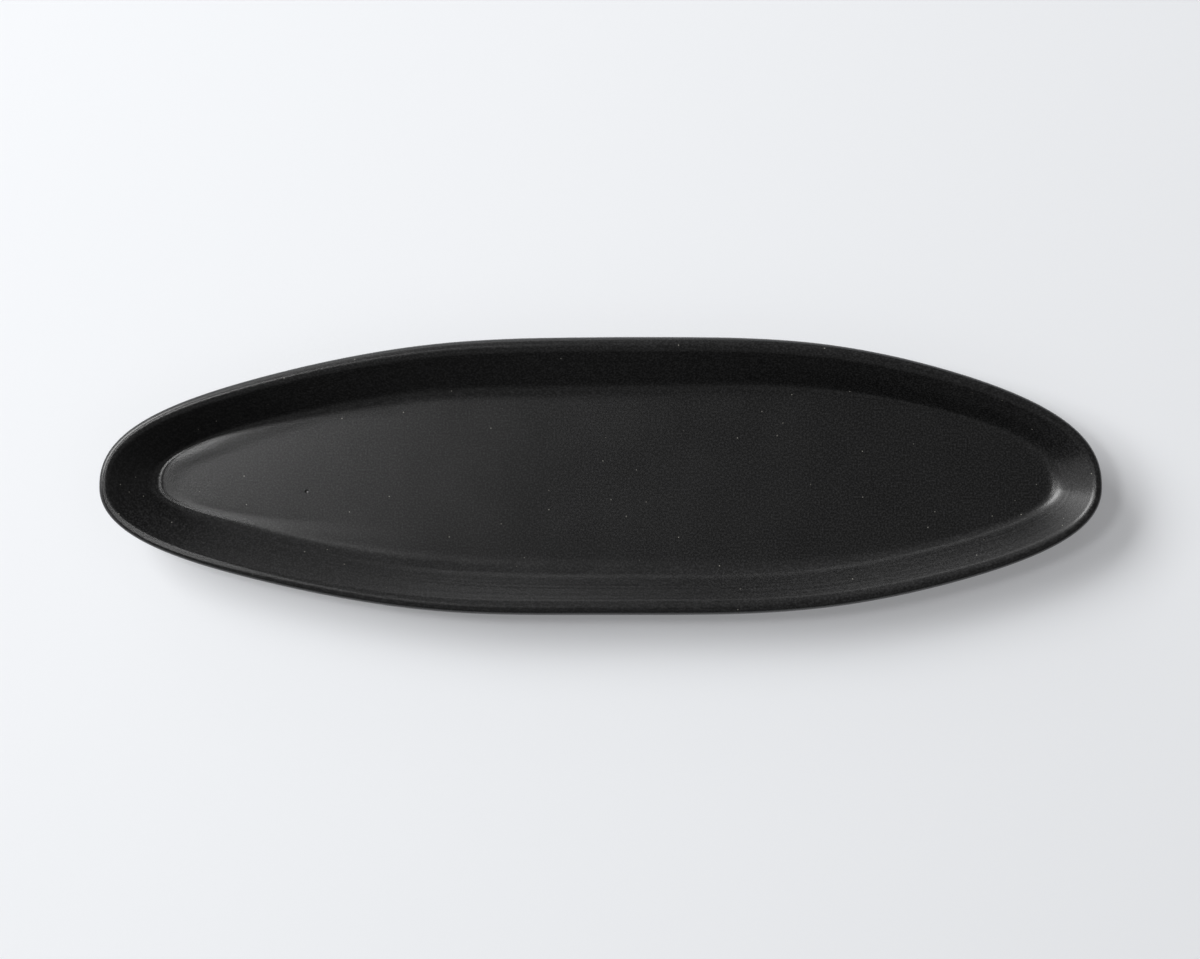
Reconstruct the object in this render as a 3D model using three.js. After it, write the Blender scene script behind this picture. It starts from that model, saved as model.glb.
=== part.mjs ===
import * as THREE from 'three';

// A long oval serving tray in hand-built stoneware, in millimetres with +Z up.
// A thrown wall ring is joined to a rolled floor slab, a foot ring is joined under both,
// and a satin black glaze covers everything but the foot.
// The foot stands on z = 0, and x = 0, y = 0 is the middle of the rim's outline.
// Left, right, far and near are -X, +X, +Y and -Y.

// Rim outline, measured over the glaze
const TRAY_LENGTH = 457;
const TRAY_WIDTH = 127;
const TRAY_HEIGHT = 24;
const WIDEST_SHIFT = 10.8; // the widest station lies this far right of the middle
const TIP_LINE_SHIFT = 5; // the line through both tips lies this far nearer than the middle
const SHOULDER_SPACING = 189; // between the two faint shoulders along each side
const SHOULDER_SWELL = 2.4; // how far a shoulder stands out

// How full each quarter of the outline is along its side and at its tip.
// Two of 2 make an ellipse. A larger second value makes a blunter tip.
const FAR_LEFT_FULLNESS = [1.7, 2.35];
const NEAR_LEFT_FULLNESS = [1.87, 2.13];
const FAR_RIGHT_FULLNESS = [1.98, 2.31];
const NEAR_RIGHT_FULLNESS = [1.86, 2.17];

// Clay above the foot
const CLAY_THICKNESS = 5.5; // floor slab and foot of the wall
const RIM_END_THICKNESS = 4.4; // clay of the rim at both tips, where it was pinched thinner
const RIM_SIDE_THICKNESS = 6.8; // clay of the rim along the sides
const WALL_SLOPE_DEGREES = 41; // up from the floor, on the average
const NEAR_STEEPER_DEGREES = 1.25; // the near wall stands steeper by this, and the far wall less steep
const RIGHT_STEEPER_DEGREES = 3.5; // the right end stands steeper by this, and the left end less steep
const TRIPLE_SWING_DEGREES = 2.5; // the slope also rises and falls by this, three times round the tray
const COVE_RADIUS = 6.5; // inner face of the clay, where the floor turns up into the wall
const FLANGE_RUN = 30; // from the middle of the rim in to the flat edge of the wall ring
const FLOOR_SEAM_WIDTH = 0.3; // slip between the wall ring and the floor slab

// Foot
const FOOT_HEIGHT = 3;
const FOOT_WIDTH = 6; // along the sides and at both tips
const FOOT_RUN = 28; // from the middle of the rim in to the foot's outer face
const SOLE_CHAMFER = 0.8;
const FOOT_SEAM_HEIGHT = 0.3; // slip between the foot and the clay above it

// Glaze
const GLAZE_THICKNESS = 0.4;
const BARE_BAND = 0.7; // clay left bare on the foot's outer face, above the chamfer
const WIPED_BAND = 1; // clay left bare under the floor, beside the foot's inner face

// Fineness of the surfaces
const RING_POINTS = 80;
const COVE_STEPS = 4;
const RIM_STEPS = 6;
const NUDGE = 1e-3; // small step for measuring how the outline runs

const RIGHT_REACH = TRAY_LENGTH / 2 - WIDEST_SHIFT;
const LEFT_REACH = TRAY_LENGTH / 2 + WIDEST_SHIFT;
const FAR_REACH = TRAY_WIDTH / 2 + TIP_LINE_SHIFT;
const NEAR_REACH = TRAY_WIDTH / 2 - TIP_LINE_SHIFT;

const halfClay = CLAY_THICKNESS / 2;
const undersideZ = FOOT_HEIGHT + FOOT_SEAM_HEIGHT;
const floorMiddleZ = undersideZ + halfClay;
const floorZ = undersideZ + CLAY_THICKNESS;
const bendRadius = COVE_RADIUS + halfClay;
const slabRun = FLANGE_RUN + FLOOR_SEAM_WIDTH;
const footInnerRun = FOOT_RUN + FOOT_WIDTH;

function fullness(isLeft, isNear) {
  if (isLeft) {
    return isNear ? NEAR_LEFT_FULLNESS : FAR_LEFT_FULLNESS;
  }
  return isNear ? NEAR_RIGHT_FULLNESS : FAR_RIGHT_FULLNESS;
}

// Half of the clay's thickness at the rim. The angle goes round anticlockwise from the right tip.
function rimHalf(angle) {
  return THREE.MathUtils.lerp(RIM_END_THICKNESS, RIM_SIDE_THICKNESS, Math.sin(angle) ** 2) / 2;
}

// A point of the plan outline at one run. A run is measured in plan, inward from the middle of the rim.
function planPoint(angle, run) {
  const along = Math.cos(angle);
  const across = Math.sin(angle);
  const isLeft = along < 0;
  const isNear = across < 0;
  const inward = rimHalf(angle) + GLAZE_THICKNESS + run;
  const reachX = (isLeft ? LEFT_REACH : RIGHT_REACH) - inward;
  const reachY = (isNear ? NEAR_REACH : FAR_REACH) - inward;
  const [side, tip] = fullness(isLeft, isNear);
  const x = Math.sign(along) * reachX * Math.abs(along) ** (2 / side);
  const shoulder = SHOULDER_SWELL * Math.sin((Math.PI * x) / SHOULDER_SPACING) ** 2;
  const y = Math.sign(across) * (reachY + shoulder) * Math.abs(across) ** (2 / tip);
  return new THREE.Vector2(WIDEST_SHIFT + x, y - TIP_LINE_SHIFT);
}

// The direction out of the outline, square to it
function planOutward(angle, run) {
  const step = planPoint(angle + NUDGE, run).sub(planPoint(angle - NUDGE, run));
  return new THREE.Vector2(step.y, -step.x).normalize();
}

function ring(pointAt) {
  return Array.from({ length: RING_POINTS }, (_, i) => pointAt((2 * Math.PI * i) / RING_POINTS));
}

// A level ring at one run, or a set distance outside it
function levelRing(run, z, outset = 0) {
  return ring((angle) => {
    const point = planPoint(angle, run).addScaledVector(planOutward(angle, run), outset);
    return new THREE.Vector3(point.x, point.y, z);
  });
}

function centre(z) {
  return new THREE.Vector3(WIDEST_SHIFT, -TIP_LINE_SHIFT, z);
}

// The wall's middle surface is a bend, tangent to the floor, and a straight slope up to the rim.
// Its stations are counted from the floor up. The last one is the rim.
const RIM_STATION = COVE_STEPS + 1;

function wallSlope(angle) {
  const near = -NEAR_STEEPER_DEGREES * Math.sin(angle);
  const right = RIGHT_STEEPER_DEGREES * Math.cos(angle);
  const swing = TRIPLE_SWING_DEGREES * Math.sin(3 * angle);
  return THREE.MathUtils.degToRad(WALL_SLOPE_DEGREES + near + right + swing);
}

// Where a station lies, how far it tilts and half of the clay's thickness there
function wallStation(angle, count) {
  const slope = wallSlope(angle);
  const rimZ = TRAY_HEIGHT - GLAZE_THICKNESS - rimHalf(angle);
  if (count === RIM_STATION) {
    return { run: 0, z: rimZ, tilt: slope, half: rimHalf(angle) };
  }
  const straightRise = rimZ - floorMiddleZ - bendRadius * (1 - Math.cos(slope));
  const coveRun = straightRise / Math.tan(slope) + bendRadius * Math.sin(slope);
  const tilt = (slope * count) / COVE_STEPS;
  const run = coveRun - bendRadius * Math.sin(tilt);
  const z = floorMiddleZ + bendRadius * (1 - Math.cos(tilt));
  const half = THREE.MathUtils.lerp(rimHalf(angle), halfClay, run / coveRun);
  return { run, z, tilt, half };
}

// A point of the clay's face, or of a coat on it.
// A turn of 0 is the inner face, half a turn is the outer face, and between them it rounds the rim.
function wallPoint(angle, count, turn, coat) {
  const station = wallStation(angle, count);
  const middle = planPoint(angle, station.run);
  const outward = planOutward(angle, station.run);
  const spacing = middle.clone().sub(planPoint(angle, station.run + NUDGE)).dot(outward) / NUDGE;
  const tilt = Math.atan2(Math.sin(station.tilt), Math.cos(station.tilt) * spacing);
  const depth = station.half + coat;
  const plan = middle.addScaledVector(outward, depth * Math.sin(turn - tilt));
  return new THREE.Vector3(plan.x, plan.y, station.z + depth * Math.cos(turn - tilt));
}

// Up the inner face, over the rim and down the outer face
function wallSkin(coat) {
  const stations = Array.from({ length: RIM_STATION + 1 }, (_, count) => count);
  const inner = stations.map((count) => ring((angle) => wallPoint(angle, count, 0, coat)));
  const rim = Array.from({ length: RIM_STEPS - 1 }, (_, step) => {
    const turn = (Math.PI * (step + 1)) / RIM_STEPS;
    return ring((angle) => wallPoint(angle, RIM_STATION, turn, coat));
  });
  const outer = stations.toReversed().map((count) => ring((angle) => wallPoint(angle, count, Math.PI, coat)));
  return [...inner, ...rim, ...outer];
}

// One closed skin over a list of rings. It runs from a start point to an end point,
// or, without them, from the last ring back to the first.
// Each four-sided patch is split across its shorter diagonal, so that skins in contact match.
function loft(rings, ends = null) {
  const corners = [];
  const rows = ends ? rings.length - 1 : rings.length;
  for (let row = 0; row < rows; row += 1) {
    const from = rings[row];
    const to = rings[(row + 1) % rings.length];
    for (let i = 0; i < RING_POINTS; i += 1) {
      const j = (i + 1) % RING_POINTS;
      if (from[i].distanceToSquared(to[j]) < from[j].distanceToSquared(to[i])) {
        corners.push(from[i], to[i], to[j], from[i], to[j], from[j]);
      } else {
        corners.push(from[i], to[i], from[j], to[i], to[j], from[j]);
      }
    }
  }
  if (ends) {
    const first = rings[0];
    const last = rings[rings.length - 1];
    for (let i = 0; i < RING_POINTS; i += 1) {
      const j = (i + 1) % RING_POINTS;
      corners.push(ends.start, first[i], first[j], last[i], ends.end, last[j]);
    }
  }
  const geometry = new THREE.BufferGeometry().setFromPoints(corners);
  geometry.computeVertexNormals();
  return geometry;
}

function piece(name, geometry, colour, roughness) {
  const material = new THREE.MeshStandardMaterial({ color: colour, roughness, metalness: 0 });
  const mesh = new THREE.Mesh(geometry, material);
  mesh.name = name;
  return mesh;
}

const CLAY_COLOUR = 0x8c7a68;
const SLIP_COLOUR = 0x7b6a5a;
const GLAZE_COLOUR = 0x1d1d1e;
const CLAY_ROUGHNESS = 0.9;
const GLAZE_ROUGHNESS = 0.38;

function floorSlab() {
  const rings = [levelRing(slabRun, floorZ), levelRing(slabRun, undersideZ)];
  const ends = { start: centre(floorZ), end: centre(undersideZ) };
  return piece('floor_slab', loft(rings, ends), CLAY_COLOUR, CLAY_ROUGHNESS);
}

function wallRing() {
  const rings = [
    levelRing(FLANGE_RUN, floorZ),
    ...wallSkin(0),
    levelRing(FLANGE_RUN, undersideZ),
  ];
  return piece('wall_ring', loft(rings), CLAY_COLOUR, CLAY_ROUGHNESS);
}

function floorSeam() {
  const rings = [
    levelRing(slabRun, floorZ),
    levelRing(FLANGE_RUN, floorZ),
    levelRing(FLANGE_RUN, undersideZ),
    levelRing(slabRun, undersideZ),
  ];
  return piece('floor_seam', loft(rings), SLIP_COLOUR, CLAY_ROUGHNESS);
}

function footSeam() {
  const rings = [
    levelRing(footInnerRun, undersideZ),
    levelRing(FOOT_RUN, undersideZ),
    levelRing(FOOT_RUN, FOOT_HEIGHT),
    levelRing(footInnerRun, FOOT_HEIGHT),
  ];
  return piece('foot_seam', loft(rings), SLIP_COLOUR, CLAY_ROUGHNESS);
}

function footRing() {
  const rings = [
    levelRing(footInnerRun, FOOT_HEIGHT),
    levelRing(FOOT_RUN, FOOT_HEIGHT),
    levelRing(FOOT_RUN, SOLE_CHAMFER),
    levelRing(FOOT_RUN + SOLE_CHAMFER, 0),
    levelRing(footInnerRun - SOLE_CHAMFER, 0),
    levelRing(footInnerRun, SOLE_CHAMFER),
  ];
  return piece('foot_ring', loft(rings), CLAY_COLOUR, CLAY_ROUGHNESS);
}

// The coat runs out over the well and the rim, in under the wall and down the foot to the bare band.
function glazeCoat() {
  const glazeLineZ = SOLE_CHAMFER + BARE_BAND;
  const rings = [
    ...wallSkin(GLAZE_THICKNESS),
    levelRing(FOOT_RUN, undersideZ - GLAZE_THICKNESS, GLAZE_THICKNESS),
    levelRing(FOOT_RUN, glazeLineZ, GLAZE_THICKNESS),
    levelRing(FOOT_RUN, glazeLineZ),
    levelRing(FOOT_RUN, undersideZ),
    ...wallSkin(0).toReversed(),
  ];
  const ends = { start: centre(floorZ + GLAZE_THICKNESS), end: centre(floorZ) };
  return piece('glaze_coat', loft(rings, ends), GLAZE_COLOUR, GLAZE_ROUGHNESS);
}

function baseGlaze() {
  const edgeRun = footInnerRun + WIPED_BAND;
  const lowZ = undersideZ - GLAZE_THICKNESS;
  const rings = [levelRing(edgeRun, undersideZ), levelRing(edgeRun, lowZ)];
  const ends = { start: centre(undersideZ), end: centre(lowZ) };
  return piece('base_glaze', loft(rings, ends), GLAZE_COLOUR, GLAZE_ROUGHNESS);
}

const tray = new THREE.Group();
tray.name = 'appetizer_tray';
tray.add(floorSlab(), wallRing(), floorSeam(), footRing(), footSeam(), glazeCoat(), baseGlaze());

export default tray;
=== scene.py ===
# %% [markdown]
# # A long oval stoneware tray in satin black glaze
#
# The tray is a thrown wall ring joined to a rolled floor slab, on an oval foot, with one coat of
# glaze over everything that shows from above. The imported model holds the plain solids. This lesson
# gives the glaze its hand-made surface: a soft bend, a floor pressed down along its edge, faint tool
# lines on the wall, and a finish that is neither matt nor shiny.

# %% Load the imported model
import math
import bpy
import numpy as np
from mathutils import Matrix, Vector, noise


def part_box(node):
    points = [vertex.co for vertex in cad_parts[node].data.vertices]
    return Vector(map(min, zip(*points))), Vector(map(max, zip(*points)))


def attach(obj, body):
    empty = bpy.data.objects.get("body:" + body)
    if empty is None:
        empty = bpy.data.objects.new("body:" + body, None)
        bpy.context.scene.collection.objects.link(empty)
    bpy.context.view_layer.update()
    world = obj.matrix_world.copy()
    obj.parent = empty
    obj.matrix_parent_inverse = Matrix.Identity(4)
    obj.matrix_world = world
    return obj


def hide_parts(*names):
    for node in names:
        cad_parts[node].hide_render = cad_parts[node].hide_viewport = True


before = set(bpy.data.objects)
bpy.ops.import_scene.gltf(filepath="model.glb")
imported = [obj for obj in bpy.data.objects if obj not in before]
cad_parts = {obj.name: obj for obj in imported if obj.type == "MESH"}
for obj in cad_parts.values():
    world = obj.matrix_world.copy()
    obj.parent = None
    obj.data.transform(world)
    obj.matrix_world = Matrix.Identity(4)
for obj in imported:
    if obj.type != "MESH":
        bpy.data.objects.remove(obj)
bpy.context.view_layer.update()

MM = 0.001
scene = bpy.context.scene
scene.view_settings.view_transform = "Standard"
print("nodes in the frame:", ", ".join(sorted(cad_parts)))

# %% [markdown]
# ## Camera
#
# The tray is seen from straight above, with its far side at the top of the picture. A camera with no
# rotation looks down -Z with +Y up, so it only has to be lifted. The picture's scale at the rim is
# known from the tray's own length, and that fixes the height for the lens that was chosen.

# %% Camera over the tray
PHOTO_WIDTH_PX = 1200
TRAY_MIDDLE_PX = (600.7, 476.1)
PHOTO_MIDDLE_PX = (600.0, 479.5)
RIM_MM_PER_PX = 0.456
RIM_EDGE_HEIGHT = 20.5 * MM
LENS_MM = 85
SENSOR_MM = 36

view_width = PHOTO_WIDTH_PX * RIM_MM_PER_PX * MM
camera_data = bpy.data.cameras.new("overhead_camera")
camera_data.lens = LENS_MM
camera_data.sensor_width = SENSOR_MM
camera = bpy.data.objects.new("overhead_camera", camera_data)
camera.location = (
    (PHOTO_MIDDLE_PX[0] - TRAY_MIDDLE_PX[0]) * RIM_MM_PER_PX * MM,
    (TRAY_MIDDLE_PX[1] - PHOTO_MIDDLE_PX[1]) * RIM_MM_PER_PX * MM,
    RIM_EDGE_HEIGHT + view_width * LENS_MM / SENSOR_MM,
)
scene.collection.objects.link(camera)
scene.camera = camera
print("camera height in mm:", round(camera.location.z / MM))

# %% [markdown]
# ## Floor and light
#
# The tray stands on plain white paper, which glows a little where it is seen or mirrored, so that it
# looks white without more light on the tray. Black glaze shows hardly any colour of its own: what the
# eye sees is the room in it. An even dome of light would be simpler, but the glaze would mirror it as
# plain grey. So the sky is dim at the horizon and overhead and paler half-way up: the floor mirrors a
# dark ceiling and the walls a paler band. A broad window stands at the far left, as the shadow shows,
# with a low board on either side of it. A small lamp hangs high up past the left end, and the blur round
# its reflection is the light that fades along the floor.


# %% Helpers for materials
def new_material(name):
    """A material, its node tree and its main shader."""
    material = bpy.data.materials.new(name)
    material.use_nodes = True
    return material, material.node_tree, material.node_tree.nodes["Principled BSDF"]


def add_node(tree, kind, **settings):
    """A node of one kind, with its settings."""
    node = tree.nodes.new(kind)
    for key, value in settings.items():
        setattr(node, key, value)
    return node


def join(tree, *pairs):
    """Link each output to its input."""
    for source, target in pairs:
        tree.links.new(source, target)


def combine(tree, operation, first, second, use_clamp=False):
    """One step of arithmetic between two sockets."""
    node = add_node(tree, "ShaderNodeMath", operation=operation, use_clamp=use_clamp)
    join(tree, (first, node.inputs[0]), (second, node.inputs[1]))
    return node.outputs["Value"]


print("helpers: new_material, add_node, join and combine")

# %% Paper floor
PAPER_SIZE = 8.0
PAPER_COLOUR = (0.655, 0.67, 0.69, 1)
PAPER_GLOW = (0.19, 0.19, 0.195, 1)
PAPER_ROUGHNESS = 0.9
PAPER_GLOSS = 0.1

bpy.ops.mesh.primitive_plane_add(size=PAPER_SIZE)
paper = bpy.context.object
paper.name = "paper_floor"
paper_material, paper_tree, paper_shader = new_material("white_paper")
paper_shader.inputs["Base Color"].default_value = PAPER_COLOUR
paper_shader.inputs["Roughness"].default_value = PAPER_ROUGHNESS
paper_shader.inputs["Specular IOR Level"].default_value = PAPER_GLOSS
paper_shader.inputs["Emission Color"].default_value = PAPER_GLOW
ray = add_node(paper_tree, "ShaderNodeLightPath").outputs
seen = combine(paper_tree, "ADD", ray["Is Camera Ray"], ray["Is Glossy Ray"], use_clamp=True)
seen = combine(paper_tree, "ADD", seen, ray["Is Transmission Ray"], use_clamp=True)
join(paper_tree, (seen, paper_shader.inputs["Emission Strength"]))
paper.data.materials.append(paper_material)
print("paper floor:", PAPER_SIZE, "m square")

# %% Sky: a dim room
SKY_BY_HEIGHT = {0.0: 0.03, 0.35: 0.06, 0.6: 0.26, 0.8: 0.21, 1.0: 0.085}

world = bpy.data.worlds.new("studio")
world.use_nodes = True
scene.world = world
sky_tree = world.node_tree
direction = add_node(sky_tree, "ShaderNodeTexCoord")
height = add_node(sky_tree, "ShaderNodeSeparateXYZ")
fade = add_node(sky_tree, "ShaderNodeValToRGB")
for extra in list(SKY_BY_HEIGHT)[1:-1]:
    fade.color_ramp.elements.new(extra)
for stop, (place, grey) in zip(fade.color_ramp.elements, SKY_BY_HEIGHT.items()):
    stop.position = place
    stop.color = (grey, grey, grey, 1)
join(
    sky_tree,
    (direction.outputs["Generated"], height.inputs["Vector"]),
    (height.outputs["Z"], fade.inputs["Fac"]),
    (fade.outputs["Color"], sky_tree.nodes["Background"].inputs["Color"]),
)
print("sky's brightness by height:", SKY_BY_HEIGHT)


# %% Soft lamps
def soft_lamp(name, azimuth, elevation, distance, width, height, watts):
    """A lamp panel that faces the tray. Azimuth is anticlockwise from +X, in degrees."""
    turn = math.radians(azimuth)
    lift = math.radians(elevation)
    away = Vector((math.cos(turn) * math.cos(lift), math.sin(turn) * math.cos(lift), math.sin(lift)))
    data = bpy.data.lights.new(name, "AREA")
    data.shape = "RECTANGLE"
    data.size = width
    data.size_y = height
    data.energy = watts
    lamp = bpy.data.objects.new(name, data)
    lamp.location = away * distance
    lamp.rotation_euler = away.to_track_quat("Z", "Y").to_euler()
    scene.collection.objects.link(lamp)


soft_lamp("window", azimuth=148, elevation=34, distance=6, width=4.5, height=2.4, watts=430)
soft_lamp("far_board", azimuth=128, elevation=12, distance=2.5, width=4.0, height=1.0, watts=23)
soft_lamp("left_board", azimuth=195, elevation=12, distance=2.5, width=2.0, height=1.0, watts=5)
soft_lamp("top_lamp", azimuth=158, elevation=67, distance=1.3, width=0.22, height=0.22, watts=3.0)
print("lamps: window, far board, left board and top lamp")

# %% [markdown]
# ## The tray's outline and section
#
# Seen from above, the rim is four quarter ovals that meet at the widest station and at both tips, a
# little uneven because a hand shaped them. Two faint shoulders stand out along each side. The section
# is a bend that leaves the floor level and a straight slope up to a round rim. The near wall and the
# right end stand steeper, and the rim is thinner at the tips. A traced curve could give the same
# outline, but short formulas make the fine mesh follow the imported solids. Lengths that the frame can
# give are measured from its boxes. Places round the outline are angles from the right tip, in radians
# and anticlockwise.

# %% Sizes
coat_low, coat_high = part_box("glaze_coat")
slab_low, slab_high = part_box("floor_slab")
foot_low, foot_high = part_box("foot_ring")
base_low, base_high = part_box("base_glaze")

HALF_LENGTH = (coat_high.x - coat_low.x) / 2
HALF_WIDTH = (coat_high.y - coat_low.y) / 2
TRAY_HEIGHT = coat_high.z
GLAZE = base_high.z - base_low.z
HALF_CLAY = (slab_high.z - slab_low.z) / 2
UNDERSIDE_Z = slab_low.z
FLOOR_MIDDLE_Z = UNDERSIDE_Z + HALF_CLAY
FLOOR_Z = slab_high.z + GLAZE
print("tray in mm:", [round(size / MM, 1) for size in (2 * HALF_LENGTH, 2 * HALF_WIDTH, TRAY_HEIGHT)])
print("foot in mm:", [round(size / MM, 1) for size in foot_high - foot_low])

# %% Plan outline
WIDEST_SHIFT = 10.8 * MM
TIP_LINE_SHIFT = 5 * MM
SHOULDER_SPACING = 189 * MM
SHOULDER_SWELL = 2.4 * MM
RIM_END_HALF = 2.2 * MM
RIM_SIDE_HALF = 3.4 * MM
# How full each quarter is along the side and round the tip, where 2 and 2 make a plain oval.
FULLNESS = {
    "far_left": (1.7, 2.35),
    "near_left": (1.87, 2.13),
    "far_right": (1.98, 2.31),
    "near_right": (1.86, 2.17),
}
AROUND = 600
angles = np.arange(AROUND) * 2 * np.pi / AROUND


def rim_half(angle):
    """Half of the clay's thickness at the rim."""
    return RIM_END_HALF * np.cos(angle) ** 2 + RIM_SIDE_HALF * np.sin(angle) ** 2


def plan_point(angle, run):
    """Points of the outline, a distance in from the middle of the rim, as an array of x and y."""
    along = np.cos(angle)
    across = np.sin(angle)
    left = along < 0
    near = across < 0
    inward = rim_half(angle) + GLAZE + run
    reach_x = HALF_LENGTH + np.where(left, WIDEST_SHIFT, -WIDEST_SHIFT) - inward
    reach_y = HALF_WIDTH + np.where(near, -TIP_LINE_SHIFT, TIP_LINE_SHIFT) - inward
    quarters = (left & ~near, left & near, ~left & ~near, ~left & near)
    side = np.select(quarters, [pair[0] for pair in FULLNESS.values()])
    tip = np.select(quarters, [pair[1] for pair in FULLNESS.values()])
    x = np.sign(along) * reach_x * np.abs(along) ** (2 / side)
    shoulder = SHOULDER_SWELL * np.sin(np.pi * x / SHOULDER_SPACING) ** 2
    y = np.sign(across) * (reach_y + shoulder) * np.abs(across) ** (2 / tip)
    return np.stack([WIDEST_SHIFT + x, y - TIP_LINE_SHIFT], axis=-1)


print("outline points:", AROUND)

# %% Directions out of the outline
TURN_NUDGE = 1e-3


def plan_outward(angle, run):
    """The direction out of the outline, square to it."""
    step = plan_point(angle + TURN_NUDGE, run) - plan_point(angle - TURN_NUDGE, run)
    outward = np.stack([step[:, 1], -step[:, 0]], axis=-1)
    return outward / np.linalg.norm(outward, axis=-1, keepdims=True)


print("direction out of the right tip:", plan_outward(angles[:1], 0).round(2).tolist())

# %% Slope of the wall
WALL_SLOPE_DEGREES = 41
NEAR_STEEPER_DEGREES = 1.25
RIGHT_STEEPER_DEGREES = 3.5
TRIPLE_SWING_DEGREES = 2.5
slope = np.radians(
    WALL_SLOPE_DEGREES
    - NEAR_STEEPER_DEGREES * np.sin(angles)
    + RIGHT_STEEPER_DEGREES * np.cos(angles)
    + TRIPLE_SWING_DEGREES * np.sin(3 * angles)
)
rim_z = TRAY_HEIGHT - GLAZE - rim_half(angles)
corner_run = (rim_z - FLOOR_MIDDLE_Z) / np.tan(slope)
steepness = np.degrees(slope).round()
print("slope of the wall in degrees:", steepness.min(), "to", steepness.max())

# %% [markdown]
# ### The bend between floor and wall
#
# Inside, the bend is wide and soft, tighter at two far corners and wider at the near left, as its
# shading shows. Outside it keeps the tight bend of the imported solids, so that the clay stays covered.
# An arc would do for the shape, but its sudden start shows as a line in the gloss. This bend eases in
# and out.

# %% Reach of the bend
COVE_RADIUS = 16 * MM
SHARP_COVE_RADIUS = 8 * MM
FAR_RIGHT_CORNER = 0.8
FAR_LEFT_CORNER = 2.85
CORNER_SPREAD = 0.4
WIDE_COVE_RADIUS = 22 * MM
NEAR_LEFT = 3.8
NEAR_LEFT_SPREAD = 0.4
OUTER_COVE_RADIUS = 6.5 * MM


def near_angle(place, spread):
    """1 at one place round the outline, fading to 0 on both sides of it."""
    away = np.angle(np.exp(1j * (angles - place)))
    return np.exp(-((away / spread) ** 2))


sharp = near_angle(FAR_RIGHT_CORNER, CORNER_SPREAD) + near_angle(FAR_LEFT_CORNER, CORNER_SPREAD)
wide = near_angle(NEAR_LEFT, NEAR_LEFT_SPREAD)
bend_radius = HALF_CLAY + COVE_RADIUS
bend_radius += (SHARP_COVE_RADIUS - COVE_RADIUS) * sharp + (WIDE_COVE_RADIUS - COVE_RADIUS) * wide
bend_reach = bend_radius * np.tan(slope / 2)
outer_reach = (HALF_CLAY + OUTER_COVE_RADIUS) * np.tan(slope / 2)
cove_run = corner_run + bend_reach
print("bend reaches in mm:", round(bend_reach.min() / MM, 1), "to", round(bend_reach.max() / MM, 1))

# %% Soft bend
STEPS_PER_ROW = 12


def soft_bend(reach, rows):
    """Tilt, run and rise along a bend that starts and ends without a jump in its curve."""
    steps = rows * STEPS_PER_ROW
    way = np.linspace(0, 1, steps + 1)
    tilt = slope * (way**2 * (3 - 2 * way))[:, None]
    middle = (tilt[1:] + tilt[:-1]) / 2
    across = np.vstack([np.zeros(AROUND), np.cumsum(np.cos(middle), axis=0)])
    up = np.vstack([np.zeros(AROUND), np.cumsum(np.sin(middle), axis=0)])
    step_length = reach * np.sin(slope) / up[-1]
    return [part[::STEPS_PER_ROW] for part in (tilt, across * step_length, up * step_length)]


print("bend is added up in steps per row:", STEPS_PER_ROW)

# %% Rows of points
NUDGE = 1e-6


def wall_row(run, z, tilt, turn, depth):
    """A row at a depth from the wall's middle surface, square to it.
    A turn of 0 is the inner face, half a turn is the outer face, and between them it rounds the rim."""
    middle = plan_point(angles, run)
    outward = plan_outward(angles, run)
    inner = plan_point(angles, run + NUDGE)
    spacing = np.sum((middle - inner) * outward, axis=-1) / NUDGE
    lean = turn - np.arctan2(np.sin(tilt), np.cos(tilt) * spacing)
    plan = middle + outward * (depth * np.sin(lean))[:, None]
    return np.column_stack([plan, z + depth * np.cos(lean)])


def level_row(run, z, outset=0.0):
    """A level row at one run, or a set distance outside it."""
    plan = plan_point(angles, run) + plan_outward(angles, run) * outset
    return np.column_stack([plan, np.full(AROUND, z)])


def face_stations(reach, cove_rows, wall_rows):
    """Run, height, tilt, half thickness of clay and share of the slope, from the floor's edge to the rim."""
    start = corner_run + reach
    places = []
    for tilt, across, up in zip(*soft_bend(reach, cove_rows)):
        places.append((start - across, FLOOR_MIDDLE_Z + up, tilt, 0.0))
    cove_top_run, cove_top_z = places[-1][:2]
    for share in np.arange(1, wall_rows + 1) / wall_rows:
        z = cove_top_z + (rim_z - cove_top_z) * share
        places.append((cove_top_run * (1 - share), z, slope, share))
    stations = []
    for run, z, tilt, share in places:
        half = rim_half(angles) + (HALF_CLAY - rim_half(angles)) * run / start
        stations.append((run, z, tilt, half, share))
    return stations


print("wall in plan, in mm:", round(cove_run.min() / MM, 1), "to", round(cove_run.max() / MM, 1))

# %% [markdown]
# ## Marks of the hand
#
# Where the wall was joined to the floor, a finger pressed the seam, so the floor sinks a little towards
# the wall in a shallow trough. At the left end the clay was left standing instead: a low ridge at the
# far left, a lip that runs out into the bend at the near left, a rise along the far side, and a thin
# bead round the tip. The wall carries faint lines from the tool that smoothed it, and the whole surface
# waves by less than a tenth of a millimetre. They could be a bump texture, but satin glaze shows slopes
# of half a degree, so they are real heights in the mesh.

# %% Heights along the floor's edge
TROUGH_DEPTH = 0.08 * MM
RIDGE_PLACE = 2.78
RIDGE_SPREAD = 0.24
RIDGE_HEIGHT = 0.07 * MM
LIP_PLACE = 3.55
LIP_SPREAD = 0.5
LIP_HEIGHT = 0.45 * MM
FAR_RISE_PLACE = 2.3
FAR_RISE_SPREAD = 0.27
FAR_RISE_HEIGHT = 0.27 * MM

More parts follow.
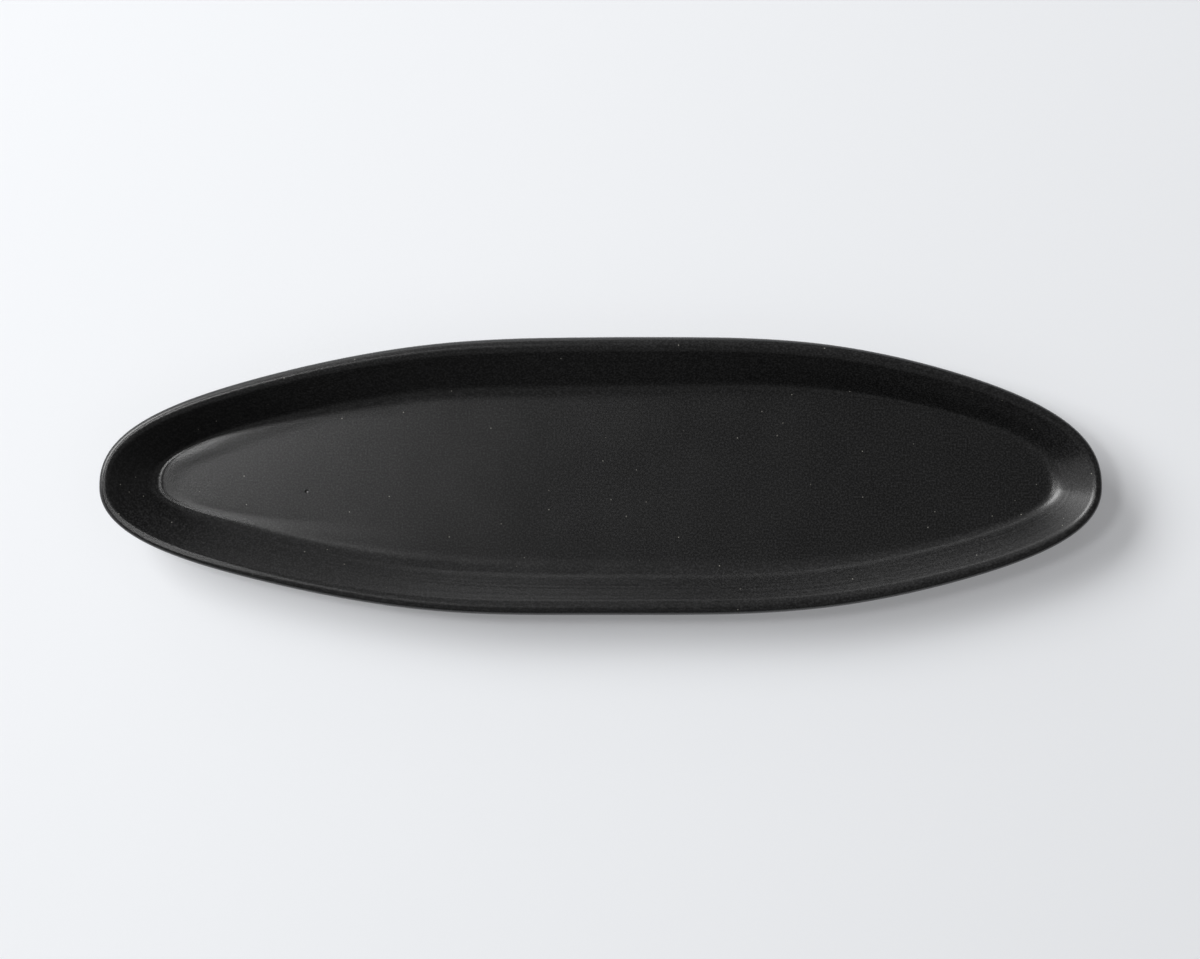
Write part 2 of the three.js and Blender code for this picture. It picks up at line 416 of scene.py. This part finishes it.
ridge = near_angle(RIDGE_PLACE, RIDGE_SPREAD)
lip = near_angle(LIP_PLACE, LIP_SPREAD)
far_rise = near_angle(FAR_RISE_PLACE, FAR_RISE_SPREAD)
edge_height = RIDGE_HEIGHT * ridge + LIP_HEIGHT * lip + FAR_RISE_HEIGHT * far_rise
edge_height -= TROUGH_DEPTH * (1 - ridge - lip - far_rise)
print("floor's edge in mm:", round(edge_height.min() / MM, 2), "to", round(edge_height.max() / MM, 2))

# %% Relief of the floor's edge
LIP_OUTSET = 9 * MM
INSET = 5 * MM
FLOOR_REACH = 13 * MM
INSET_FLOOR_REACH = 8 * MM
WALL_REACH = 16 * MM
INSET_WALL_REACH = 5 * MM
BEAD_PLACE = 3.14
BEAD_SPREAD = 0.3
BEAD_HEIGHT = 0.12 * MM
BEAD_WIDTH = 0.8 * MM
BEAD_INSIDE = -1.2 * MM
inset = np.minimum(ridge + wide * (1 - lip), 1)


def blend(plain, set_in):
    """A length round the outline, with its own value where the trough or ridge stands in from the bend."""
    return plain + (set_in - plain) * inset


def seam_relief(inside):
    """Height of these marks at a distance in from the bend. They fade out over the floor and up the wall."""
    past = inside - blend(0, INSET) + LIP_OUTSET * np.minimum(lip + far_rise, 1)
    floor_reach = blend(FLOOR_REACH, INSET_FLOOR_REACH)
    wall_reach = blend(WALL_REACH, INSET_WALL_REACH)
    reach = np.where(past > 0, floor_reach, wall_reach)
    fade = (1 + np.cos(np.pi * np.clip(past / reach, -1, 1))) / 2
    bead = np.exp(-(((inside - BEAD_INSIDE) / BEAD_WIDTH) ** 2))
    return edge_height * fade + BEAD_HEIGHT * near_angle(BEAD_PLACE, BEAD_SPREAD) * bead


print("relief at the bend's edge in mm:", round(seam_relief(0).max() / MM, 2), "at most")

# %% Waves and tool lines
WAVE_LENGTH = 50 * MM
WAVE_HEIGHT = 0.06 * MM
RIPPLE_LENGTH = 13 * MM
RIPPLE_HEIGHT = 0.008 * MM
TOOL_LINES_UP_WALL = 11
TOOL_LINE_HEIGHT = 0.025 * MM
TOOL_LINE_DRIFT = 1.2
BULGE_PLACE = 0.6
BULGE_SPREAD = 0.4
BULGE_HEIGHT = 0.4 * MM


def hand_waves(row):
    """Slow, shallow waves over the whole surface."""
    slow = [noise.noise(Vector(point) / WAVE_LENGTH) for point in row]
    quick = [noise.noise(Vector(point) / RIPPLE_LENGTH) for point in row]
    return WAVE_HEIGHT * np.array(slow) + RIPPLE_HEIGHT * np.array(quick)


def wall_relief(share):
    """Fine lines round the wall that fade in and out, and a slight swelling at the far right."""
    up = share * TOOL_LINES_UP_WALL
    turns = [(TOOL_LINE_DRIFT * math.cos(a), TOOL_LINE_DRIFT * math.sin(a)) for a in angles]
    lines = [noise.noise(Vector((up, east, north))) for east, north in turns]
    bulge = BULGE_HEIGHT * near_angle(BULGE_PLACE, BULGE_SPREAD) * math.sin(math.pi * share) ** 2
    return TOOL_LINE_HEIGHT * np.array(lines) + bulge


print("tool lines up the wall:", TOOL_LINES_UP_WALL)

# %% [markdown]
# ## The glaze coat
#
# The glaze is one thin skin: out over the well, round the rim, in under the wall and down the foot,
# where it stops in a rounded edge above the bare clay. It is built as rows of points that are joined
# with four-sided faces, the same way a thrown form grows in rings. A grid with a displacement texture
# would also do, but rows keep the faces in line with the rim, where the highlights run.


# %% Rows to mesh
def skin(name, rows, start=None, end=None):
    """A smooth closed mesh over rows of points, from a start point to an end point, or round a loop."""
    vertices = np.concatenate(rows)
    count = len(rows)
    one = np.arange(AROUND)
    two = (one + 1) % AROUND
    faces = []
    joins = count - 1 if start is not None else count
    for i in range(joins):
        j = (i + 1) % count
        corners = (i * AROUND + one, j * AROUND + one, j * AROUND + two, i * AROUND + two)
        faces += np.column_stack(corners).tolist()
    if start is not None:
        top = len(vertices)
        bottom = top + 1
        last = (count - 1) * AROUND
        vertices = np.concatenate([vertices, [start, end]])
        faces += np.column_stack([np.full(AROUND, top), one, two]).tolist()
        faces += np.column_stack([last + one, np.full(AROUND, bottom), last + two]).tolist()
    mesh = bpy.data.meshes.new(name)
    mesh.from_pydata(vertices.tolist(), [], faces)
    mesh.shade_smooth()
    piece = bpy.data.objects.new(name, mesh)
    scene.collection.objects.link(piece)
    print(name, "faces:", len(faces))
    return piece


def middle_point(z):
    """The point at a height where the four quarter ovals meet."""
    return np.array([WIDEST_SHIFT, -TIP_LINE_SHIFT, z])


print("middle of the floor in mm:", (middle_point(FLOOR_Z) / MM).round(1).tolist())

# %% Well and inner face
EDGE_ZONE = 16 * MM
MIDDLE_ROWS = 24
EDGE_ROWS = 16
COVE_ROWS = 20
WALL_ROWS = 44
RIM_STARTS = 0.88
edge_insides = np.linspace(EDGE_ZONE, 0, EDGE_ROWS + 1)[1:-1]
stations_to_rim = face_stations(bend_reach, COVE_ROWS, WALL_ROWS)
inner_stations = [station for station in stations_to_rim if station[-1] <= RIM_STARTS]


def well_rows():
    """From the middle of the floor out to the bend."""
    zone_start = plan_point(angles, cove_run + EDGE_ZONE)
    middle = middle_point(0)[:2]
    flat = np.full(AROUND, FLOOR_Z)
    rows = []
    for share in np.arange(1, MIDDLE_ROWS + 1) / MIDDLE_ROWS:
        row = np.column_stack([middle + (zone_start - middle) * share, flat])
        row[:, 2] += hand_waves(row)
        rows.append(row)
    for inside in edge_insides:
        row = np.column_stack([plan_point(angles, cove_run + inside), flat])
        row[:, 2] += hand_waves(row) + seam_relief(inside)
        rows.append(row)
    return rows


def inner_face_rows():
    """Up the bend and the wall, to where the rim starts to round."""
    rows = []
    for run, z, tilt, half, share in inner_stations:
        plain = wall_row(run, z, tilt, 0, half + GLAZE)
        relief = hand_waves(plain) + seam_relief(run - cove_run) + wall_relief(share)
        rows.append(wall_row(run, z, tilt, 0, half + GLAZE + relief))
    return rows


print("rows from the middle to the rim:", MIDDLE_ROWS + len(edge_insides) + len(inner_stations))

# %% [markdown]
# ### The rim
#
# A wet sponge rounded the rim, and its inner half was drawn up a little taller. At the near left the
# sponge cut deeper and left a flat top that leans a little inward, which shows as a broader pale band. A
# bevel would round every edge alike. Here the rows turn round the rim's middle, and a soft minimum cuts
# them off at the flat top, so that the edge of the cut stays round.

# %% Sponged rim
RIM_ROWS = 28
RIM_TALLER = 1.3
WORN_DEPTH = 0.34 * MM
WORN_EDGE = 0.03 * MM
WORN_PLACE = 3.6
WORN_SPREAD = 0.5
WORN_TILT = 0.06
worn = near_angle(WORN_PLACE, WORN_SPREAD)
worn_top = TRAY_HEIGHT - WORN_DEPTH * worn


def rim_rows():
    """Over the rim, from the inner face to the outer face. Its inner half is an upright oval."""
    rim_run = np.zeros(AROUND)
    thick = rim_half(angles) + GLAZE
    rim_middle = plan_point(angles, rim_run)
    rim_outward = plan_outward(angles, rim_run)
    rows = []
    for turn in np.linspace(0, np.pi, RIM_ROWS + 1)[:-1]:
        taller = (RIM_TALLER - 1) * (1 - worn) * (turn < np.pi / 2)
        rise = (1 + taller) * math.sin(turn) - taller
        true_turn = np.arctan2(rise, math.cos(turn))
        depth = thick * np.hypot(rise, math.cos(turn))
        plain = wall_row(rim_run, rim_z, slope, true_turn, depth)
        row = wall_row(rim_run, rim_z, slope, true_turn, depth + hand_waves(plain))
        inward = np.sum((rim_middle - row[:, :2]) * rim_outward, axis=-1)
        top = worn_top - WORN_TILT * worn * inward
        over = row[:, 2] - top
        row[:, 2] = top - WORN_EDGE * np.logaddexp(0, -over / WORN_EDGE)
        rows.append(row)
    return rows


print("rim worn down by up to", WORN_DEPTH / MM, "mm")


# %% Outer face and foot edge
def outer_face_rows():
    """Down the outer face and in under the floor."""
    rows = []
    for run, z, tilt, half, _ in reversed(face_stations(outer_reach, COVE_ROWS, WALL_ROWS // 2)):
        plain = wall_row(run, z, tilt, np.pi, half + GLAZE)
        rows.append(wall_row(run, z, tilt, np.pi, half + GLAZE + hand_waves(plain)))
    return rows


FOOT_RUN = HALF_LENGTH - RIM_END_HALF - GLAZE - foot_high.x
GLAZE_LINE_Z = coat_low.z
CORNER_RADIUS = 1.0 * MM
CORNER_STEPS = 5
DRIP_SWELL = 0.15 * MM


def foot_edge_rows():
    """In under the wall, round the corner, down the foot and into the rounded edge of the glaze."""
    under_z = UNDERSIDE_Z - GLAZE
    rows = []
    for turn in np.linspace(0, np.pi / 2, CORNER_STEPS):
        out = GLAZE + CORNER_RADIUS * (1 - math.sin(turn))
        rows.append(level_row(FOOT_RUN, under_z - CORNER_RADIUS * (1 - math.cos(turn)), out))
    rows.append(level_row(FOOT_RUN, GLAZE_LINE_Z + GLAZE / 2, GLAZE + DRIP_SWELL))
    rows.append(level_row(FOOT_RUN, GLAZE_LINE_Z, GLAZE / 2))
    rows.append(level_row(FOOT_RUN, GLAZE_LINE_Z))
    return rows


print("glaze ends above the table, in mm:", round(GLAZE_LINE_Z / MM, 1))

# %% Clay side and the whole coat
CLAY_COVE_ROWS = 4


def clay_side_rows():
    """Back along the clay, so that the coat is a closed thin shell."""
    outer = face_stations(outer_reach, CLAY_COVE_ROWS, 1)
    inner = face_stations(bend_reach, CLAY_COVE_ROWS, 1)
    rows = [level_row(FOOT_RUN, UNDERSIDE_Z)]
    rows += [wall_row(run, z, tilt, np.pi, half) for run, z, tilt, half, _ in outer]
    for turn in np.linspace(np.pi, 0, RIM_ROWS // 2 + 1)[1:-1]:
        rows.append(wall_row(np.zeros(AROUND), rim_z, slope, turn, rim_half(angles)))
    rows += [wall_row(run, z, tilt, 0, half) for run, z, tilt, half, _ in reversed(inner)]
    return rows


coat_rows = well_rows() + inner_face_rows() + rim_rows()
coat_rows += outer_face_rows() + foot_edge_rows() + clay_side_rows()
well_middle = middle_point(FLOOR_Z)
well_middle[2] += hand_waves([well_middle])[0]
glaze_coat = skin("glazed_surface", coat_rows, well_middle, middle_point(FLOOR_Z - GLAZE))

# %% [markdown]
# ### Where the glaze ran together
#
# In the kiln, molten glaze runs down the wall and pools in the bend. At the near left it lies thicker
# and levels out smooth. Every point of the mesh keeps a value from 0 to 1 for that, which the glaze's
# material reads by its name. A mask texture would do as well, but the mesh already knows how far each
# point is from the bend.

# %% Pooled glaze
POOL_PLACE = 3.52
POOL_SPREAD = 0.4
POOL_INSIDE = -3 * MM
POOL_WIDTH = 7 * MM


def pool_values():
    """How far the glaze ran together, for every point of the well and the inner face."""
    insides = [np.full(AROUND, EDGE_ZONE)] * MIDDLE_ROWS
    insides += [np.full(AROUND, inside) for inside in edge_insides]
    insides += [run - cove_run for run, *_ in inner_stations]
    across = np.exp(-(((np.array(insides) - POOL_INSIDE) / POOL_WIDTH) ** 2))
    return (across * near_angle(POOL_PLACE, POOL_SPREAD)).ravel()


pooled = np.zeros(len(glaze_coat.data.vertices))
inner_pool = pool_values()
pooled[:len(inner_pool)] = inner_pool
glaze_coat.data.attributes.new("pooled", "FLOAT", "POINT").data.foreach_set("value", pooled)
print("points in the pool:", int((pooled > pooled.max() / 2).sum()))

# %% [markdown]
# ## The foot and the glaze under the floor
#
# The photo doesn't show the underside, so it is finished the way such trays are: an oval foot of bare
# clay, its edges worn round by a sponge, and a panel of glaze inside it that stops short of the foot.
# Both could be cut with a bevel modifier, but the same level rows make them in a few lines.

# %% Foot ring
SOLE_ROUND = 0.8 * MM
SOLE_STEPS = 5
FOOT_WIDTH = 6 * MM
foot_inner_run = FOOT_RUN + FOOT_WIDTH


def foot_rows():
    """Across the top of the foot, down its outer face, over the sole and up its inner face."""
    rows = [level_row(foot_inner_run, foot_high.z), level_row(FOOT_RUN, foot_high.z)]
    for turn in np.linspace(0, np.pi / 2, SOLE_STEPS):
        step_in = SOLE_ROUND * (1 - math.cos(turn))
        rows.append(level_row(FOOT_RUN + step_in, SOLE_ROUND * (1 - math.sin(turn))))
    for turn in np.linspace(np.pi / 2, 0, SOLE_STEPS):
        step_in = SOLE_ROUND * (1 - math.cos(turn))
        rows.append(level_row(foot_inner_run - step_in, SOLE_ROUND * (1 - math.sin(turn))))
    return rows


foot = skin("bare_foot", foot_rows())

# %% Base glaze panel
BASE_EDGE_RUN = HALF_LENGTH - RIM_END_HALF - GLAZE - base_high.x
PANEL_EDGE_DROP = GLAZE / 3
PANEL_WAVE_HEIGHT = GLAZE / 4
PANEL_ROWS = 10


def base_panel_rows():
    """Over the rounded edge of the panel and in along its lower face."""
    rows = [level_row(BASE_EDGE_RUN + GLAZE / 2, base_high.z)]
    rows.append(level_row(BASE_EDGE_RUN, base_high.z - PANEL_EDGE_DROP))
    edge = level_row(BASE_EDGE_RUN + GLAZE, base_low.z)
    middle = middle_point(base_low.z)
    for share in np.linspace(1, 0, PANEL_ROWS + 1)[:-1]:
        row = middle + (edge - middle) * share
        row[:, 2] -= PANEL_WAVE_HEIGHT * hand_waves(row) / WAVE_HEIGHT
        rows.append(row)
    return rows


base_panel = skin("base_panel", base_panel_rows(), middle_point(base_high.z), middle_point(base_low.z))

# %% [markdown]
# ## Finishes
#
# Fired clay and glaze share one habit: they are never even. A node group gives each finish its cloudy
# tone and its fine grain, and another scatters small specks. Every material could have its own noise
# nodes, but a group is built once, and each material places it with its own sizes. The shader itself
# stays in the material.


# %% Group for clouds and grain
def new_group(name, inputs, outputs):
    """A group with number sockets, its input node and its output node."""
    group = bpy.data.node_groups.new(name, "ShaderNodeTree")
    for label, value in inputs.items():
        socket = group.interface.new_socket(label, in_out="INPUT", socket_type="NodeSocketFloat")
        socket.default_value = value
    for label in outputs:
        group.interface.new_socket(label, in_out="OUTPUT", socket_type="NodeSocketFloat")
    return group, group.nodes.new("NodeGroupInput"), group.nodes.new("NodeGroupOutput")


CLOUD_DETAIL = 3
GRAIN_DETAIL = 2
cloud_group, cloud_in, cloud_out = new_group(
    "cloud_and_grain", {"Cloud Scale": 30, "Grain Scale": 700}, ("Cloud", "Grain")
)
place = add_node(cloud_group, "ShaderNodeTexCoord")
cloud = add_node(cloud_group, "ShaderNodeTexNoise")
cloud.inputs["Detail"].default_value = CLOUD_DETAIL
grain = add_node(cloud_group, "ShaderNodeTexNoise")
grain.inputs["Detail"].default_value = GRAIN_DETAIL
join(
    cloud_group,
    (place.outputs["Object"], cloud.inputs["Vector"]),
    (place.outputs["Object"], grain.inputs["Vector"]),
    (cloud_in.outputs["Cloud Scale"], cloud.inputs["Scale"]),
    (cloud_in.outputs["Grain Scale"], grain.inputs["Scale"]),
    (cloud.outputs["Fac"], cloud_out.inputs["Cloud"]),
    (grain.outputs["Fac"], cloud_out.inputs["Grain"]),
)
print("node group:", cloud_group.name)

# %% Group for specks
speck_group, speck_in, speck_out = new_group(
    "scattered_specks", {"Scale": 90, "Share": 0.2, "Size": 0.05}, ("Speck",)
)
place = add_node(speck_group, "ShaderNodeTexCoord")
cells = add_node(speck_group, "ShaderNodeTexVoronoi")
chance = add_node(speck_group, "ShaderNodeSeparateColor")
edge = add_node(speck_group, "ShaderNodeMapRange", interpolation_type="SMOOTHSTEP")
edge.inputs["From Min"].default_value = 0
edge.inputs["To Min"].default_value = 1
edge.inputs["To Max"].default_value = 0
join(
    speck_group,
    (place.outputs["Object"], cells.inputs["Vector"]),
    (speck_in.outputs["Scale"], cells.inputs["Scale"]),
    (cells.outputs["Color"], chance.inputs["Color"]),
    (cells.outputs["Distance"], edge.inputs["Value"]),
    (speck_in.outputs["Size"], edge.inputs["From Max"]),
)
chosen = combine(speck_group, "LESS_THAN", chance.outputs["Red"], speck_in.outputs["Share"])
speck = combine(speck_group, "MULTIPLY", chosen, edge.outputs["Result"])
join(speck_group, (speck, speck_out.inputs["Speck"]))
print("node group:", speck_group.name)


# %% Helpers for finishes
def place_group(tree, group, **values):
    """A group in a material, with its own values."""
    node = add_node(tree, "ShaderNodeGroup", node_tree=group)
    for label, value in values.items():
        node.inputs[label.replace("_", " ")].default_value = value
    return node.outputs


# A mix node has sockets for each kind of value. These are the places of those for colours.
MIX_FIRST = 6
MIX_SECOND = 7
MIX_RESULT = 2


def mix_colours(tree, factor, first, second):
    """A colour mix. First and second are colours or sockets."""
    node = add_node(tree, "ShaderNodeMix", data_type="RGBA")
    join(tree, (factor, node.inputs["Factor"]))
    for socket, value in ((node.inputs[MIX_FIRST], first), (node.inputs[MIX_SECOND], second)):
        if isinstance(value, tuple):
            socket.default_value = value
        else:
            join(tree, (value, socket))
    return node.outputs[MIX_RESULT]


def stretch(tree, value, source, target):
    """A value moved from one range to another. It stops at the ends of the range."""
    node = add_node(tree, "ShaderNodeMapRange")
    ends = {"From Min": source[0], "From Max": source[1], "To Min": target[0], "To Max": target[1]}
    for socket, number in ends.items():
        node.inputs[socket].default_value = number
    join(tree, (value, node.inputs["Value"]))
    return node.outputs["Result"]


def bump_normal(tree, height, depth, strength):
    """The surface's normal, tilted as if the height stood on it. A height of 1 is one depth."""
    node = add_node(tree, "ShaderNodeBump")
    node.inputs["Strength"].default_value = strength
    node.inputs["Distance"].default_value = depth
    join(tree, (height, node.inputs["Height"]))
    return node.outputs["Normal"]


print("helpers: place_group, mix_colours, stretch and bump_normal")

# %% [markdown]
# ### Satin black glaze
#
# The glaze is close to black, with a soft sheen that blurs a lamp to a pale streak. Fine grain shows in
# its colour and roughens the surface a little, pale specks of unmelted grit show here and there, and
# bubbles left pinholes and one larger pit. The pinholes' colour is painted a shade darker, for the shade
# inside them. Where the glaze pooled, the surface is smoother and hardly has any grain. A painted picture
# could hold all this, but it would have to be wrapped round the tray.
# Noise and distances need no wrapping and stay sharp close up.

# %% Glaze colour
GLAZE_BLACK = (0.0025, 0.0025, 0.0026, 1)
GLAZE_SOFT_BLACK = (0.004, 0.004, 0.0041, 1)
GRAIN_GREY = (0.022, 0.022, 0.0225, 1)
GRAIN_SHOWS = (0.42, 0.72)
SPECK_PALE = (0.3, 0.29, 0.26, 1)
# Painted shade: the pinholes get a darker black that stands in for the shade inside each hole.
PINHOLE_PAINTED_SHADE = (0.002, 0.002, 0.002, 1)


def glaze_colour(tree, tone, specks, pinholes):
    """Cloudy black with paler grain, pale specks and painted shade in the pinholes."""
    black = mix_colours(tree, tone["Cloud"], GLAZE_BLACK, GLAZE_SOFT_BLACK)
    grain_shown = stretch(tree, tone["Grain"], GRAIN_SHOWS, (0, 1))
    grainy = mix_colours(tree, grain_shown, black, GRAIN_GREY)
    specked = mix_colours(tree, specks["Speck"], grainy, SPECK_PALE)
    # painted shade inside the pinholes
    return mix_colours(tree, pinholes["Speck"], specked, PINHOLE_PAINTED_SHADE)


print("grain's grey against the black:", GRAIN_GREY[0], "to", GLAZE_BLACK[0])

# %% Glaze sheen and surface
MIDDLE_OF_NOISE = (0.3, 0.7)
SATIN_ROUGHNESS = (0.29, 0.33)
POOL_SMOOTHER = 0.06
POOL_LEVELS = 0.4
POOL_GRAIN = 0.05
GRAIN_DEPTH = 0.035 * MM
PIT_PLACE = (-135.3 * MM, -6.9 * MM, FLOOR_Z)
PIT_CORE = 0.15 * MM
PIT_RADIUS = 0.85 * MM
PIT_DEPTH = 0.42 * MM


def glaze_roughness(tree, tone, pool, pinholes):
    """Satin, smoother where the glaze pooled and dull inside the pinholes."""
    satin = stretch(tree, tone["Cloud"], MIDDLE_OF_NOISE, SATIN_ROUGHNESS)
    runny = stretch(tree, pool, (0, 1), (0, POOL_SMOOTHER))
    smooth = combine(tree, "SUBTRACT", satin, runny)
    return combine(tree, "ADD", smooth, pinholes["Speck"], use_clamp=True)


def glaze_height(tree, tone, pool, pinholes):
    """Grain and pinholes, levelled out where the glaze pooled, and the one larger pit."""
    dips = combine(tree, "SUBTRACT", tone["Grain"], pinholes["Speck"])
    left_over = stretch(tree, pool, (0, POOL_LEVELS), (1, POOL_GRAIN))
    levelled = combine(tree, "MULTIPLY", dips, left_over)
    place = add_node(tree, "ShaderNodeTexCoord")
    away = add_node(tree, "ShaderNodeVectorMath", operation="DISTANCE")
    away.inputs[1].default_value = PIT_PLACE
    join(tree, (place.outputs["Object"], away.inputs[0]))
    pit = stretch(tree, away.outputs["Value"], (PIT_CORE, PIT_RADIUS), (PIT_DEPTH / GRAIN_DEPTH, 0))
    return combine(tree, "SUBTRACT", levelled, pit)


print("grain is", GRAIN_DEPTH / MM, "mm deep and the pit", PIT_DEPTH / MM, "mm")


# %% Glaze material
def glaze_material():
    """The glaze, from both groups and the value for pooled glaze."""
    material, tree, shader = new_material("satin_black_glaze")
    tone = place_group(tree, cloud_group, Cloud_Scale=38, Grain_Scale=1200)
    specks = place_group(tree, speck_group, Scale=150, Share=0.8, Size=0.06)
    pinholes = place_group(tree, speck_group, Scale=165, Share=0.8, Size=0.06)
    pool = add_node(tree, "ShaderNodeAttribute", attribute_name="pooled").outputs["Fac"]
    height = glaze_height(tree, tone, pool, pinholes)
    join(
        tree,
        (glaze_colour(tree, tone, specks, pinholes), shader.inputs["Base Color"]),
        (glaze_roughness(tree, tone, pool, pinholes), shader.inputs["Roughness"]),
        (bump_normal(tree, height, GRAIN_DEPTH, strength=1.0), shader.inputs["Normal"]),
    )
    return material


black_glaze = glaze_material()
print("material:", black_glaze.name)

# %% [markdown]
# ### Bare stoneware and slip
#
# The foot is the only place where the clay shows: warm grey brown, gritty, with dark iron specks. The
# slip in the joints is the same clay, wetter and finer, so it fires a shade darker. One function makes
# both, because only their colours and the size of their grain differ.

# %% Clay materials
CLAY_LIGHT = (0.30, 0.225, 0.16, 1)
CLAY_DARK = (0.215, 0.155, 0.108, 1)
SLIP_LIGHT = (0.22, 0.16, 0.115, 1)
SLIP_DARK = (0.165, 0.118, 0.083, 1)
IRON_SPECK = (0.05, 0.032, 0.022, 1)
CLAY_ROUGHNESS = (0.8, 0.95)
CLAY_GRAIN_DEPTH = 0.1 * MM


def clay_material(name, light, dark, grain_scale):
    """Fired clay with a cloudy colour, iron specks and grain."""
    material, tree, shader = new_material(name)
    tone = place_group(tree, cloud_group, Cloud_Scale=90, Grain_Scale=grain_scale)
    iron = place_group(tree, speck_group, Scale=260, Share=0.3, Size=0.12)
    clay = mix_colours(tree, tone["Cloud"], light, dark)
    join(
        tree,
        (mix_colours(tree, iron["Speck"], clay, IRON_SPECK), shader.inputs["Base Color"]),
        (stretch(tree, tone["Grain"], MIDDLE_OF_NOISE, CLAY_ROUGHNESS), shader.inputs["Roughness"]),
        (bump_normal(tree, tone["Grain"], CLAY_GRAIN_DEPTH, strength=0.5), shader.inputs["Normal"]),
    )
    return material


bare_clay = clay_material("bare_stoneware", CLAY_LIGHT, CLAY_DARK, grain_scale=900)
fired_slip = clay_material("fired_slip", SLIP_LIGHT, SLIP_DARK, grain_scale=1500)
print("materials:", bare_clay.name, "and", fired_slip.name)

# %% [markdown]
# ## Putting it together
#
# The new skins take the place of the plain solids for glaze and foot. They could lie over those solids,
# but two surfaces so close together would show through each other. The clay pieces inside stay as packed
# and only get their material. The new skins ride on the tray's one body.

# %% Finish and place every piece
new_skins = ((glaze_coat, black_glaze), (base_panel, black_glaze), (foot, bare_clay))
for piece, material in new_skins:
    piece.data.materials.append(material)
    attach(piece, "root")
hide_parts("glaze_coat")
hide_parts("base_glaze")
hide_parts("foot_ring")

kept_solids = {
    "floor_slab": bare_clay,
    "wall_ring": bare_clay,
    "floor_seam": fired_slip,
    "foot_seam": fired_slip,
}
for node, material in kept_solids.items():
    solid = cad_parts[node]
    solid.data.materials.clear()
    solid.data.materials.append(material)
print("new skins:", len(new_skins), "and packed solids with a new material:", len(kept_solids))
